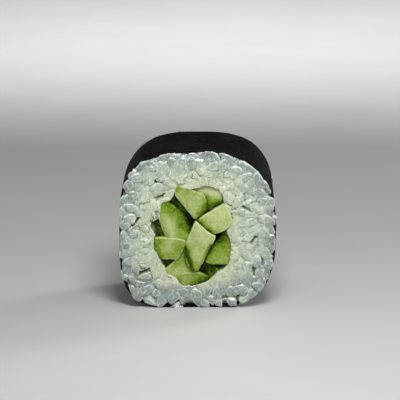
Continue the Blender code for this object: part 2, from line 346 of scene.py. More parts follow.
class BundleHole:
    """The space in the rice that the bundle of cucumber sticks fills, read from the sticks' solids."""

    def __init__(self, sticks: list[bpy.types.Object], steps: int = 90, samples: int = 16) -> None:
        """Measure the bundle.

        Args:
            sticks: The sticks' solids.
            steps: Angles at which its reach is kept.
            samples: Places read along each edge.
        """
        shares = np.linspace(0, 1, samples)[None, :, None]
        places = []
        for stick in sticks:
            flat = vertex_array(stick.data)[:, [0, 2]]
            ends = np.array([edge.vertices[:] for edge in stick.data.edges])
            start, end = flat[ends[:, 0]][:, None], flat[ends[:, 1]][:, None]
            places.append((start + (end - start) * shares).reshape(-1, 2))
        cloud = np.concatenate(places)
        self.centre = (cloud.min(axis=0) + cloud.max(axis=0)) / 2
        offset = cloud - self.centre
        turn = np.arctan2(offset[:, 1], offset[:, 0]) % FULL_TURN
        number = (turn / FULL_TURN * steps).astype(int) % steps
        reach = np.zeros(steps)
        np.maximum.at(reach, number, np.hypot(offset[:, 0], offset[:, 1]))
        self.turns = (np.arange(steps) + 0.5) * FULL_TURN / steps
        around = np.stack([np.roll(reach, step) for step in (-1, 0, 1)])
        self.reaches = around.mean(axis=0)

    def reach(self, turn: np.ndarray) -> np.ndarray:
        """The bundle's reach from its centre at an angle."""
        return np.interp(turn % FULL_TURN, self.turns, self.reaches, period=FULL_TURN)

    def distance(self, places: np.ndarray) -> np.ndarray:
        """Find how far outside the bundle each place is.

        Args:
            places: Places to measure, one row each.

        Returns:
            The distances; less than 0 is inside.
        """
        offset = places[:, [0, 2]] - self.centre
        turn = np.arctan2(offset[:, 1], offset[:, 0])
        return np.hypot(offset[:, 0], offset[:, 1]) - self.reach(turn)

    def push_out(self, places: np.ndarray, margin: float | np.ndarray) -> np.ndarray:
        """Press places off the bundle.

        Args:
            places: Places to press, one row each.
            margin: Distance kept outside it.

        Returns:
            The pressed places.
        """
        offset = places[:, [0, 2]] - self.centre
        turn = np.arctan2(offset[:, 1], offset[:, 0])
        length = np.maximum(np.hypot(offset[:, 0], offset[:, 1]), 1e-9)
        factor = np.maximum(1.0, (self.reach(turn) + margin) / length)
        flat = self.centre + offset * factor[:, None]
        return np.stack([flat[:, 0], places[:, 1], flat[:, 1]], axis=1)


# Shaders


@dataclass
class Nodes:
    """A node tree with short calls for the nodes that the finishes use."""

    tree: bpy.types.NodeTree

    def feed(self, socket: bpy.types.NodeSocket, value: object) -> None:
        """Link a socket to another one, or set its value.

        Args:
            socket: The input to feed.
            value: The value or the output that feeds it.
        """
        if isinstance(value, bpy.types.NodeSocket):
            self.tree.links.new(value, socket)
        else:
            socket.default_value = value

    def fill(self, node: bpy.types.Node, inputs: dict[str | int, object]) -> None:
        """Feed several inputs of a node, by name or number."""
        for key, value in inputs.items():
            self.feed(node.inputs[key], value)

    def add(
        self, kind: str, inputs: dict[str | int, object] | None = None, **settings: object
    ) -> bpy.types.Node:
        """Add a node.

        Args:
            kind: Blender's name of the node type, without its ShaderNode.
            inputs: Values or sockets for its inputs, by name or number.
            **settings: Values for the node's properties.

        Returns:
            The node.
        """
        node = self.tree.nodes.new("ShaderNode" + kind)
        for key, value in settings.items():
            setattr(node, key, value)
        self.fill(node, inputs or {})
        return node

    def math(
        self, operation: str, first: object, second: object = 0.0, clamp: bool = False
    ) -> bpy.types.NodeSocket:
        """Add a Math node and return its result."""
        return self.add("Math", {0: first, 1: second}, operation=operation, use_clamp=clamp).outputs[0]

    def mix(self, share: object, first: object, second: object) -> bpy.types.NodeSocket:
        """Mix two colours and return the result."""
        return self.add("Mix", {0: share, 6: first, 7: second}, data_type="RGBA").outputs[2]

    def spread(
        self, value: object, low: float, high: float, to_low: float = 0.0, to_high: float = 1.0
    ) -> bpy.types.NodeSocket:
        """Map a range of values to another and return the result, held within it."""
        inputs = {0: value, 1: low, 2: high, 3: to_low, 4: to_high}
        return self.add("MapRange", inputs, clamp=True).outputs[0]

    def noise(
        self, place: object, scale: float, detail: float = 2.0, roughness: float = 0.5
    ) -> bpy.types.NodeSocket:
        """Add noise at a place and return its value."""
        inputs = {"Vector": place, "Scale": scale, "Detail": detail, "Roughness": roughness}
        return self.add("TexNoise", inputs).outputs[0]

    def cell_edge(self, place: object, scale: float) -> bpy.types.NodeSocket:
        """Divide the space in uneven cells and return the distance to the nearest edge of one."""
        inputs = {"Vector": place, "Scale": scale}
        return self.add("TexVoronoi", inputs, feature="DISTANCE_TO_EDGE").outputs[0]

    def stretched(self, place: object, scale: tuple[float, float, float]) -> bpy.types.NodeSocket:
        """Scale a place along each axis and return it."""
        return self.add("Mapping", {"Vector": place, "Scale": scale}).outputs[0]

    def attribute(self, name: str) -> bpy.types.NodeSocket:
        """Read a number that the mesh holds."""
        return self.add("Attribute", attribute_name=name).outputs["Fac"]

    def ramp(self, value: object, stops: tuple[tuple[float, Colour], ...]) -> bpy.types.NodeSocket:
        """Colour a value by stops along a ramp.

        Args:
            value: The value.
            stops: Each stop's place from 0 to 1 and its colour.

        Returns:
            The colour.
        """
        made = self.add("ValToRGB", {0: value})
        elements = made.color_ramp.elements
        while len(elements) < len(stops):
            elements.new(1.0)
        for element, (place, colour) in zip(elements, stops):
            element.position = place
            element.color = (*colour, 1.0)
        return made.outputs[0]

    def bump(self, shader: bpy.types.Node, strength: float, distance: float, height: object) -> None:
        """Raise a shader's surface by a height."""
        inputs = {"Strength": strength, "Distance": distance, "Height": height}
        self.feed(shader.inputs["Normal"], self.add("Bump", inputs).outputs[0])


def new_material(name: str) -> tuple[bpy.types.Material, Nodes, bpy.types.Node]:
    """Make a material.

    Args:
        name: Its name.

    Returns:
        The material, its nodes and its Principled shader.
    """
    material = bpy.data.materials.new(name)
    material.use_nodes = True
    return material, Nodes(material.node_tree), material.node_tree.nodes["Principled BSDF"]


def new_group(name: str, inputs: tuple[str, ...], outputs: tuple[str, ...]) -> Nodes:
    """Make a shader node group with named inputs and outputs, all of them numbers.

    Args:
        name: Its name.
        inputs: The names of its inputs.
        outputs: The names of its outputs.

    Returns:
        The group's nodes.
    """
    tree = bpy.data.node_groups.new(name, "ShaderNodeTree")
    for socket in inputs:
        tree.interface.new_socket(socket, in_out="INPUT", socket_type="NodeSocketFloat")
    for socket in outputs:
        tree.interface.new_socket(socket, in_out="OUTPUT", socket_type="NodeSocketFloat")
    return Nodes(tree)


class MoistRelief:
    """The fine uneven relief of moist food, as a group: lumps and a finer grain, as a height and a mask."""

    group: bpy.types.NodeTree | None = None

    @classmethod
    def place(cls, nodes: Nodes, lumps: float, fine: float) -> bpy.types.Node:
        """Put the group in a material.

        Args:
            nodes: The material's nodes.
            lumps: How many lumps there are in a metre.
            fine: How many fine grains there are in a metre.

        Returns:
            The group's node, with the outputs Height and Mottle.
        """
        if cls.group is None:
            cls.group = cls.build()
        node = nodes.tree.nodes.new("ShaderNodeGroup")
        node.node_tree = cls.group
        nodes.fill(node, {"Lumps": lumps, "Fine": fine})
        return node

    @staticmethod
    def build() -> bpy.types.NodeTree:
        """Build the group.

        Returns:
            The group.
        """
        nodes = new_group("moist_relief", ("Lumps", "Fine"), ("Height", "Mottle"))
        given = nodes.tree.nodes.new("NodeGroupInput")
        result = nodes.tree.nodes.new("NodeGroupOutput")
        place = nodes.add("TexCoord").outputs["Object"]
        lumps = nodes.noise(place, given.outputs["Lumps"], 3.0)
        fine = nodes.noise(place, given.outputs["Fine"], 2.0)
        height = nodes.math("ADD", nodes.math("MULTIPLY", lumps, 0.65), nodes.math("MULTIPLY", fine, 0.35))
        nodes.fill(result, {"Height": height, "Mottle": nodes.spread(lumps, 0.3, 0.7)})
        return nodes.tree


class CutFacing:
    """How squarely a surface faces a cut, as a group: 1 on the cut itself, 0 on what runs along the roll."""

    group: bpy.types.NodeTree | None = None

    @classmethod
    def place(cls, nodes: Nodes) -> bpy.types.NodeSocket:
        """Put the group in a material.

        Args:
            nodes: The material's nodes.

        Returns:
            The group's output.
        """
        if cls.group is None:
            cls.group = cls.build()
        node = nodes.tree.nodes.new("ShaderNodeGroup")
        node.node_tree = cls.group
        return node.outputs["Facing"]

    @staticmethod
    def build() -> bpy.types.NodeTree:
        """Build the group.

        Returns:
            The group.
        """
        nodes = new_group("cut_facing", (), ("Facing",))
        result = nodes.tree.nodes.new("NodeGroupOutput")
        normal = nodes.add("TexCoord").outputs["Normal"]
        along = nodes.add("SeparateXYZ", {0: normal}).outputs["Y"]
        nodes.feed(result.inputs["Facing"], nodes.math("ABSOLUTE", along))
        return nodes.tree


@dataclass(frozen=True)
class RiceFinish:
    """Moist cooked short-grain rice: glassy grey-green bodies, chalky hearts, painted highlights round cut
    grains, and painted shade in its creases, slits and towards the bottom.
    """

    clear: Colour = (0.40, 0.49, 0.41, 1.0)
    chalky: Colour = (0.74, 0.81, 0.64, 1.0)
    # Colour of the painted highlights on grain edges and of the pale veins.
    edge: Colour = (0.97, 1.0, 0.88, 1.0)
    warm: Colour = (0.68, 0.74, 0.45, 1.0)
    # Glassy tint near the seaweed, which also stands as painted shade towards the bottom.
    outer: Colour = (0.24, 0.31, 0.31, 1.0)
    # Colour of the painted shade in slits and in creases that lie further under the cut.
    deep: Colour = (0.15, 0.18, 0.08, 1.0)
    streaks: float = 1500.0
    bends: float = 500.0
    bend_reach: float = 1.1 * MM
    veins: float = 520.0
    # Scale of the painted dark slits, which are painted shade.
    slits: float = 330.0
    roughness: float = 0.25
    subsurface: float = 0.45
    scatter: float = 0.5 * MM
    coat: tuple[float, float] = (0.45, 1.0)
    coat_roughness: float = 0.09
    bump: float = 0.24 * MM

    def material(self) -> bpy.types.Material:
        """Build the material.

        Returns:
            The material.
        """
        material, nodes, shader = new_material("cooked_rice")
        relief = MoistRelief.place(nodes, lumps=900.0, fine=2600.0)
        place = nodes.add("TexCoord").outputs["Object"]
        streaks = nodes.noise(place, self.streaks, 4.0, 0.7)
        outer = nodes.attribute("outer")
        bent = self.bent(nodes, place)
        vein_highlight = self.vein_highlight_mask(nodes, bent, streaks)
        slit = self.painted_slit_shade_mask(nodes, bent, place)
        # Painted highlights: pale rounded grain edges, and pale veins that are partly painted highlight.
        pale = nodes.math("MAXIMUM", self.painted_edge_highlight_mask(nodes, outer), nodes.math("MULTIPLY", vein_highlight, 0.75))
        colour = self.body_colour(nodes, relief.outputs["Mottle"], streaks, outer)
        colour = nodes.mix(pale, colour, self.edge)
        # Painted shade: darker in the fine slits.
        colour = nodes.mix(nodes.math("MULTIPLY", slit, 0.8), colour, self.deep)
        # Painted shade: darker where the surface lies further under the cut, in the creases.
        colour = nodes.mix(nodes.attribute("depth"), colour, self.deep)
        shine = {
            "Base Color": colour,
            "Roughness": self.roughness,
            "Subsurface Weight": self.subsurface,
            "Subsurface Radius": (1.0, 1.0, 0.9),
            "Subsurface Scale": self.scatter,
            "Coat Weight": nodes.spread(outer, 0.0, 1.0, *self.coat),
            "Coat Roughness": self.coat_roughness,
        }
        nodes.fill(shader, shine)
        height = nodes.math("ADD", relief.outputs["Height"], nodes.math("MULTIPLY", streaks, 0.6))
        height = nodes.math("ADD", height, nodes.math("MULTIPLY", vein_highlight, 0.3))
        height = nodes.math("SUBTRACT", height, nodes.math("MULTIPLY", slit, 0.7))
        nodes.bump(shader, 0.8, self.bump, height)
        return material

    def body_colour(
        self,
        nodes: Nodes,
        mottle: bpy.types.NodeSocket,
        streaks: bpy.types.NodeSocket,
        outer: bpy.types.NodeSocket,
    ) -> bpy.types.NodeSocket:
        """Colour the grains' bodies.

        Args:
            nodes: The material's nodes.
            mottle: The mask of the moist relief's lumps.
            streaks: Fine noise.
            outer: How near the seaweed a place is, widened towards the bottom as painted shade.

        Returns:
            The colour.
        """
        white = nodes.math("MULTIPLY", nodes.attribute("tone"), 0.45)
        white = nodes.math("ADD", white, nodes.spread(mottle, 0, 1, -0.1, 0.45))
        white = nodes.math("ADD", white, nodes.spread(streaks, 0.35, 0.65, -0.32, 0.32), clamp=True)
        colour = nodes.mix(white, self.clear, self.chalky)
        colour = nodes.mix(nodes.attribute("warmth"), colour, nodes.mix(0.5, colour, self.warm))
        # Glassier and darker near the seaweed, partly painted shade towards the bottom.
        return nodes.mix(outer, colour, nodes.mix(0.75, colour, self.outer))

    def bent(self, nodes: Nodes, place: bpy.types.NodeSocket) -> bpy.types.NodeSocket:
        """Bend the space a little, so that veins and slits aren't straight.

        Args:
            nodes: The material's nodes.
            place: The place on the piece.

        Returns:
            The bent place.
        """
        noise_inputs = {"Vector": place, "Scale": self.bends, "Detail": 2.0}
        shift = nodes.add("TexNoise", noise_inputs).outputs["Color"]
        shift = nodes.add("VectorMath", {0: shift, "Scale": self.bend_reach}, operation="SCALE").outputs[0]
        return nodes.add("VectorMath", {0: place, 1: shift}, operation="ADD").outputs[0]

    def vein_highlight_mask(self, nodes: Nodes, bent: object, streaks: object) -> bpy.types.NodeSocket:
        """Mask the pale broken veins between cut grains, partly a painted highlight."""
        vein_highlight = nodes.spread(nodes.cell_edge(bent, self.veins), 0.07, 0.0)
        return nodes.math("MULTIPLY", vein_highlight, nodes.spread(streaks, 0.4, 0.6))

    def painted_slit_shade_mask(self, nodes: Nodes, bent: object, place: object) -> bpy.types.NodeSocket:
        """Mask the painted shade of the few fine dark slits where grains part."""
        slit = nodes.spread(nodes.cell_edge(bent, self.slits), 0.035, 0.01)
        return nodes.math("MULTIPLY", slit, nodes.spread(nodes.noise(place, self.slits), 0.56, 0.62))

    @staticmethod
    def painted_edge_highlight_mask(nodes: Nodes, outer: bpy.types.NodeSocket) -> bpy.types.NodeSocket:
        """Mask the painted highlights on the rounded edges of the grains, most of all near the seaweed.

        Args:
            nodes: The material's nodes.
            outer: How near the seaweed a place is, widened towards the bottom as painted shade.

        Returns:
            The mask.
        """
        facing = CutFacing.place(nodes)
        edge_highlight = nodes.math("MULTIPLY", nodes.spread(facing, 0.92, 0.78), nodes.spread(facing, 0.42, 0.62))
        return nodes.math("MULTIPLY", edge_highlight, nodes.spread(outer, 0.0, 1.0, 0.35, 0.58))


@dataclass(frozen=True)
class SeaweedFinish:
    """Roasted seaweed sheet: near black green, with a papery grain, painted specks of gloss and a painted
    glint along its cut edges.
    """

    dark: Colour = (0.0015, 0.0018, 0.001, 1.0)
    light: Colour = (0.0085, 0.009, 0.005, 1.0)
    brown: Colour = (0.011, 0.0055, 0.0045, 1.0)
    # Colour of the painted glints.
    painted_glint: Colour = (0.11, 0.11, 0.095, 1.0)
    fibres: float = 900.0
    painted_glint_size: float = 2200.0
    roughness: tuple[float, float] = (0.38, 0.75)
    specular: float = 0.02
    bump: float = 0.16 * MM

    def material(self) -> bpy.types.Material:
        """Build the material.

        Returns:
            The material.
        """
        material, nodes, shader = new_material("seaweed_sheet")
        place = nodes.add("TexCoord").outputs["Object"]
        blotch = nodes.noise(place, 160.0, 4.0)
        fibre = nodes.noise(nodes.stretched(place, (1.0, 3.5, 1.0)), self.fibres, 3.0, 0.65)
        mottle = nodes.math("ADD", nodes.math("MULTIPLY", blotch, 0.45), nodes.math("MULTIPLY", fibre, 0.55))
        colour = nodes.mix(nodes.spread(mottle, 0.42, 0.62), self.dark, self.light)
        colour = nodes.mix(nodes.spread(nodes.noise(place, 90.0, 2.0), 0.55, 0.75), colour, self.brown)
        # Painted glints: pale specks and a pale line along the cut edges.
        colour = nodes.mix(self.painted_glint_mask(nodes, place, fibre), colour, self.painted_glint)
        shine = {
            "Base Color": colour,
            "Roughness": nodes.spread(fibre, 0.35, 0.65, *self.roughness),
            "Specular IOR Level": self.specular,
        }
        nodes.fill(shader, shine)
        speck = nodes.add("TexVoronoi", {"Vector": place, "Scale": 1500.0}).outputs["Distance"]
        height = nodes.math("ADD", fibre, nodes.math("MULTIPLY", speck, 0.6))
        height = nodes.math("ADD", height, nodes.math("MULTIPLY", blotch, 1.5))
        nodes.bump(shader, 0.9, self.bump, height)
        return material

    def painted_glint_mask(
        self, nodes: Nodes, place: bpy.types.NodeSocket, fibre: bpy.types.NodeSocket
    ) -> bpy.types.NodeSocket:
        """Mask the painted glints in loose clusters, and a painted highlight along the sheet's cut edges.

        Args:
            nodes: The material's nodes.
            place: The place on the sheet.
            fibre: The papery grain.

        Returns:
            The mask.
        """
        grain = nodes.noise(place, self.painted_glint_size, 1.0)
        edge = nodes.attribute("edge")
        cluster = nodes.math("ADD", nodes.noise(place, 260.0, 2.0), nodes.math("MULTIPLY", edge, 0.1))
        painted_glint = nodes.math("MULTIPLY", nodes.spread(grain, 0.63, 0.73), nodes.spread(cluster, 0.53, 0.7))
        # Painted highlight along the cut edges.
        worn = nodes.math("MULTIPLY", edge, nodes.spread(fibre, 0.42, 0.62, 0.0, 0.1))
        return nodes.math("MAXIMUM", painted_glint, worn)


@dataclass(frozen=True)
class CucumberFinish:
    """Fresh cut cucumber: pale watery flesh, greener towards the rind, dark skin."""

    stops: tuple[tuple[float, Colour], ...] = (
        (0.0, (0.56, 0.63, 0.29)),
        (0.25, (0.38, 0.47, 0.145)),
        (0.45, (0.26, 0.37, 0.045)),
        (0.65, (0.14, 0.24, 0.008)),
        (0.82, (0.04, 0.085, 0.002)),
        (0.92, (0.013, 0.03, 0.001)),
        (1.0, (0.004, 0.009, 0.0006)),
    )
    # Colour of the painted highlights on the flesh's edges.
    edge: Colour = (0.74, 0.80, 0.48, 1.0)
    brown: Colour = (0.30, 0.24, 0.15, 1.0)
    starch: Colour = (0.57, 0.63, 0.34, 1.0)
    streaks: float = 1300.0
    grain: float = 2300.0
    roughness: float = 0.38
    specular: float = 0.12
    subsurface: float = 0.22
    scatter: float = 0.8 * MM
    bump: float = 0.14 * MM

    def material(self) -> bpy.types.Material:
        """Build the material.

        Returns:
            The material.
        """
        material, nodes, shader = new_material("fresh_cucumber")
        relief = MoistRelief.place(nodes, lumps=420.0, fine=3000.0)
        place = nodes.add("TexCoord").outputs["Object"]
        streaks = nodes.noise(nodes.stretched(place, (1.0, 0.12, 1.0)), self.streaks, 3.0)
        grain = nodes.noise(place, self.grain, 2.0)
        change = nodes.spread(relief.outputs["Mottle"], 0, 1, -0.07, 0.07)
        change = nodes.math("ADD", change, nodes.spread(streaks, 0.35, 0.65, -0.085, 0.085))
        change = nodes.math("ADD", change, nodes.spread(grain, 0.35, 0.65, -0.05, 0.05))
        shade = nodes.math("ADD", nodes.attribute("rind"), change, clamp=True)
        colour = nodes.ramp(shade, self.stops)
        colour = nodes.mix(nodes.attribute("film"), colour, self.starch)
        colour = nodes.mix(nodes.attribute("brown"), colour, self.brown)
        # Painted highlights along the edges of the pale flesh.
        colour = nodes.mix(self.painted_edge_highlight_mask(nodes, place, shade), colour, self.edge)
        shine = {
            "Base Color": colour,
            "Roughness": self.roughness,
            "Subsurface Weight": self.subsurface,
            "Subsurface Radius": (0.7, 1.0, 0.35),
            "Subsurface Scale": self.scatter,
            "Specular IOR Level": self.specular,
        }
        nodes.fill(shader, shine)
        height = nodes.math("ADD", relief.outputs["Height"], nodes.math("MULTIPLY", streaks, 0.8))
        nodes.bump(shader, 0.5, self.bump, height)
        return material

    @staticmethod
    def painted_edge_highlight_mask(
        nodes: Nodes, place: bpy.types.NodeSocket, shade: bpy.types.NodeSocket
    ) -> bpy.types.NodeSocket:
        """Mask the painted highlight on the broken edge of the flesh, where a stick isn't dark.

        Args:
            nodes: The material's nodes.
            place: The place on the stick.
            shade: How green it is there.

        Returns:
            The mask.
        """
        facing = CutFacing.place(nodes)
        edge_highlight = nodes.math("MULTIPLY", nodes.spread(facing, 0.98, 0.85), nodes.spread(facing, 0.3, 0.6))
        edge_highlight = nodes.math("MULTIPLY", edge_highlight, nodes.spread(shade, 0.7, 0.5, 0.0, 0.7))
        return nodes.math("MULTIPLY", edge_highlight, nodes.spread(nodes.noise(place, 420.0), 0.4, 0.6, 0.2, 1.0))


@dataclass(frozen=True)
class FloorFinish:
    """A plain pale matt surface."""

    colour: Colour = (0.62, 0.62, 0.60, 1.0)
    worn: float = 0.96
    roughness: float = 0.6

    def material(self) -> bpy.types.Material:
        """Build the material.

        Returns:
            The material.
        """
        material, nodes, shader = new_material("pale_floor")
        place = nodes.add("TexCoord").outputs["Object"]
        shade = nodes.spread(nodes.noise(place, 30.0, 3.0), 0.3, 0.7)
        darker = tuple(part * self.worn for part in self.colour[:3])
        colour = nodes.mix(shade, (*darker, 1.0), self.colour)
        nodes.fill(shader, {"Base Color": colour, "Roughness": self.roughness})
        return material


# The pieces


@dataclass
class SeaweedSheet:
    """The sheet round the rice, with the dents of the rice behind it and uneven cut edges."""

    section: RollSection
    finish: SeaweedFinish = field(default_factory=SeaweedFinish)
    steps_round: int = 320
    steps_along: int = 44
    dent: float = 0.16 * MM
    dent_lump: float = 4.2 * MM
    dent_fine: float = 1.6 * MM
    edge_wave: float = 0.2 * MM
    edge_width: float = 0.9 * MM
    trim: float = 0.5 * MM
    fray: float = 0.1 * MM
    fray_lump: float = 0.7 * MM

    def build(self) -> bpy.types.Object:
        """Bend a flat grid round the roll and give it its thickness.

        Returns:
            The finished sheet.
        """
        section = self.section
        deselect_all()
        bpy.ops.mesh.primitive_grid_add(
            x_subdivisions=self.steps_round, y_subdivisions=self.steps_along, size=1.0
        )
        sheet = name_new("seaweed_sheet")
        flat = vertex_array(sheet.data)
        all_round = FULL_TURN + section.lap_end - section.lap_start
        turn = section.lap_start + (flat[:, 0] + 0.5) * all_round
        share = flat[:, 1] + 0.5
        first = turn < section.lap_end + section.lap_ramp
        inset = np.where(first, section.lap_step(turn), 0.0)
        x, z = section.outline(turn, share, inset)
        wave = self.edge_wave * np.sin(3 * turn + 1.0) * np.cos(5 * turn)
        y = (share - 0.5) * (section.length - self.trim - 2 * wave)
        places = np.stack([x, y, z], axis=1)
        inward = -np.stack([np.cos(turn), np.zeros_like(turn), np.sin(turn)], axis=1)
        lumps = 0.5 + 0.5 * noise_at(places, self.dent_lump) + 0.25 * noise_at(places, self.dent_fine, 4.0)
        free = smooth_step((z - section.sheet * 3) / (4 * MM))
        places += inward * (self.dent * np.clip(lumps, 0, 1) * free)[:, None]
        end = smooth_step((np.abs(share - 0.5) - 0.46) / 0.04)
        places[:, 1] += end * self.fray * noise_at(places, self.fray_lump, 9.0) * np.sign(share - 0.5)
        set_vertices(sheet.data, places)
        # Where the painted glint along the cut edges goes, and where painted glints cluster.
        past = np.abs(places[:, 1]) - section.length / 2 + 1.5 * MM
        set_attribute(sheet.data, "edge", smooth_step(past / self.edge_width))
        apply_modifier(sheet, "SOLIDIFY", thickness=section.sheet, offset=1.0, use_even_offset=True)
        make_active(sheet)
        bpy.ops.object.shade_smooth_by_angle(angle=math.radians(50))
        finish_piece(sheet, self.finish.material(), "nori", "nori_sheet")
        return sheet


@dataclass
class Kernel:
    """One grain of rice in a cut face."""

    x: float
    z: float
    depth: float
    spin: float
    tilt: float
    size: tuple[float, float, float]
    form: KernelForm
    tone: float

    def matrix(self, side: Side, length: float) -> Matrix:
        """Find where the kernel lies.

        Args:
            side: The cut face that it is in.
            length: The roll's length.

        Returns:
            The matrix that takes the model of a kernel there.
        """
        y = side.value * (length / 2 - self.depth)
        turned = Matrix.Rotation(self.spin, 4, "Y") @ Matrix.Rotation(self.tilt, 4, "Z")
        turned = turned @ Matrix.Rotation(self.spin * 2.7, 4, "X")
        return Matrix.Translation((self.x, y, self.z)) @ turned @ Matrix.Diagonal((*self.size, 1.0))


@dataclass
class KernelModel:
    """The model of one kernel of each form, lying along X, as long, deep and wide as 1 by 0.42 by 0.5."""

    segments: int = 10
    rings: int = 8

    def build(self, form: KernelForm) -> KernelMesh:
        """Model a kernel and take its mesh.

        Args:
            form: Which kernel.

        Returns:
            Its vertices and faces.
        """
        deselect_all()
        bpy.ops.mesh.primitive_uv_sphere_add(
            segments=self.segments, ring_count=self.rings, radius=0.5, rotation=(0, math.pi / 2, 0)
        )
        kernel = name_new("kernel_" + form.value)
        bpy.ops.object.transform_apply(location=False, rotation=True, scale=False)
        bpy.ops.object.mode_set(mode="EDIT")
        bpy.ops.mesh.select_all(action="SELECT")
        bpy.ops.transform.resize(value=(1.0, 0.42, 0.5))
        self.select_where(kernel, lambda co: 0.2 < abs(co.x) < 0.47)
        bpy.ops.transform.resize(value=(1.0, 1.14, 1.14))
        self.select_where(kernel, lambda co: co.x > 0.1)
        bpy.ops.transform.translate(value=(0, 0, -0.03))
        self.select_where(kernel, lambda co: co.x < -0.3)
        bpy.ops.transform.resize(value=(1.0, 0.9, 0.86))
        if form is KernelForm.CUT:
            bpy.ops.mesh.select_all(action="SELECT")
            bpy.ops.mesh.bisect(
                plane_co=(0.08, 0, 0), plane_no=(0.75, 0.0, 0.66), use_fill=True, clear_outer=True
            )
            bpy.ops.mesh.bevel(offset=0.035, segments=2, affect="EDGES")
        if form is KernelForm.STUB:
            bpy.ops.mesh.select_all(action="SELECT")
            bpy.ops.transform.resize(value=(0.62, 1.05, 1.05))
        bpy.ops.object.mode_set(mode="OBJECT")
        points = vertex_array(kernel.data)
        faces = [tuple(face.vertices) for face in kernel.data.polygons]
        bpy.data.objects.remove(kernel)
        return points, faces

    @staticmethod
    def select_where(obj: bpy.types.Object, test: Callable[[Vector], bool]) -> None:
        """Select in edit mode the vertices whose place passes a test.

        Args:
            obj: The object that is being edited.
            test: Whether to select the vertex at a place.
        """
        mesh = bmesh.from_edit_mesh(obj.data)
        for vert in mesh.verts:
            vert.select = test(vert.co)
        mesh.select_flush_mode()
        bmesh.update_edit_mesh(obj.data)


@dataclass(frozen=True)
class Crack:
    """A dark slit between grains in the front cut, in mm, with a grain lying along each of its sides."""

    start: Spot
    end: Spot

    @property
    def middle(self) -> Spot:
        """Where its middle is, in metres."""
        return (self.start[0] + self.end[0]) / 2 * MM, (self.start[1] + self.end[1]) / 2 * MM

    @property
    def heading(self) -> float:
        """Its angle in the cut."""
        return math.atan2(self.end[1] - self.start[1], self.end[0] - self.start[0])

    def sides(self, reach: float) -> list[Spot]:
        """Find places on both sides of it.

        Args:
            reach: How far from it.

        Returns:
            The two places, as x and z.
        """
        x, z = self.middle
        across, up = -math.sin(self.heading) * reach, math.cos(self.heading) * reach
        return [(x + across, z + up), (x - across, z - up)]

    def distance(self, places: np.ndarray) -> np.ndarray:
        """Find how far each place is from it in the cut.

        Args:
            places: Places to measure, one row each.

        Returns:
            The distances.
        """
        flat = places[:, [0, 2]]
        start, end = np.array(self.start) * MM, np.array(self.end) * MM
        along = end - start
        share = np.clip((flat - start) @ along / (along @ along), 0, 1)
        return np.linalg.norm(flat - start - share[:, None] * along, axis=1)


